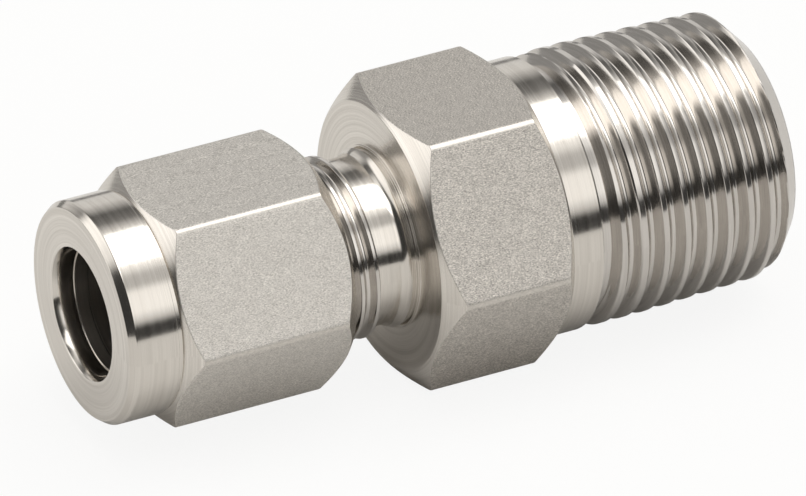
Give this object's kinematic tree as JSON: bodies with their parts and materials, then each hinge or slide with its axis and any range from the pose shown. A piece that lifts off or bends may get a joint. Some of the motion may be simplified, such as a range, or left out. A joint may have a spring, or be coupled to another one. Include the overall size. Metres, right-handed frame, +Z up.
{
  "type": "bored-through male connector",
  "caption": "Twin-ferrule tube fitting with a hexagonal nut and body, a bore right through for the tube and a male tapered pipe thread.",
  "frame": {"origin": "on the tube's axis, in the plane of the body hexagon's face on the nut side", "axes": "+X along the tube's axis towards the pipe end, +Z up with the fitting lying on a flat of the body hexagon"},
  "size_m": [0.0556, 0.0244, 0.0214],
  "materials": {
    "turned_steel": "turned",
    "nut_steel": "turned",
    "ferrule_steel": "turned"
  },
  "bodies": {
    "connector": {"connector_body": "turned_steel"},
    "ferrules": {"front_ferrule": "ferrule_steel", "back_ferrule": "ferrule_steel"},
    "nut": {"compression_nut": "nut_steel"}
  },
  "joints": [
    {"name": "nut_travel", "type": "slide", "parent": "connector", "child": "ferrules", "axis": [-1, 0, 0], "range_m": [0, 0.00826]},
    {"name": "nut_turn", "type": "hinge", "parent": "ferrules", "child": "nut", "pos_m": [0, 0, 0], "axis": [-1, 0, 0], "range_deg": [0, 2340]}
  ],
  "couplings": [
    {"joint": "nut_travel", "follows": "nut_turn", "m_per_rad": 0.00020213}
  ]
}
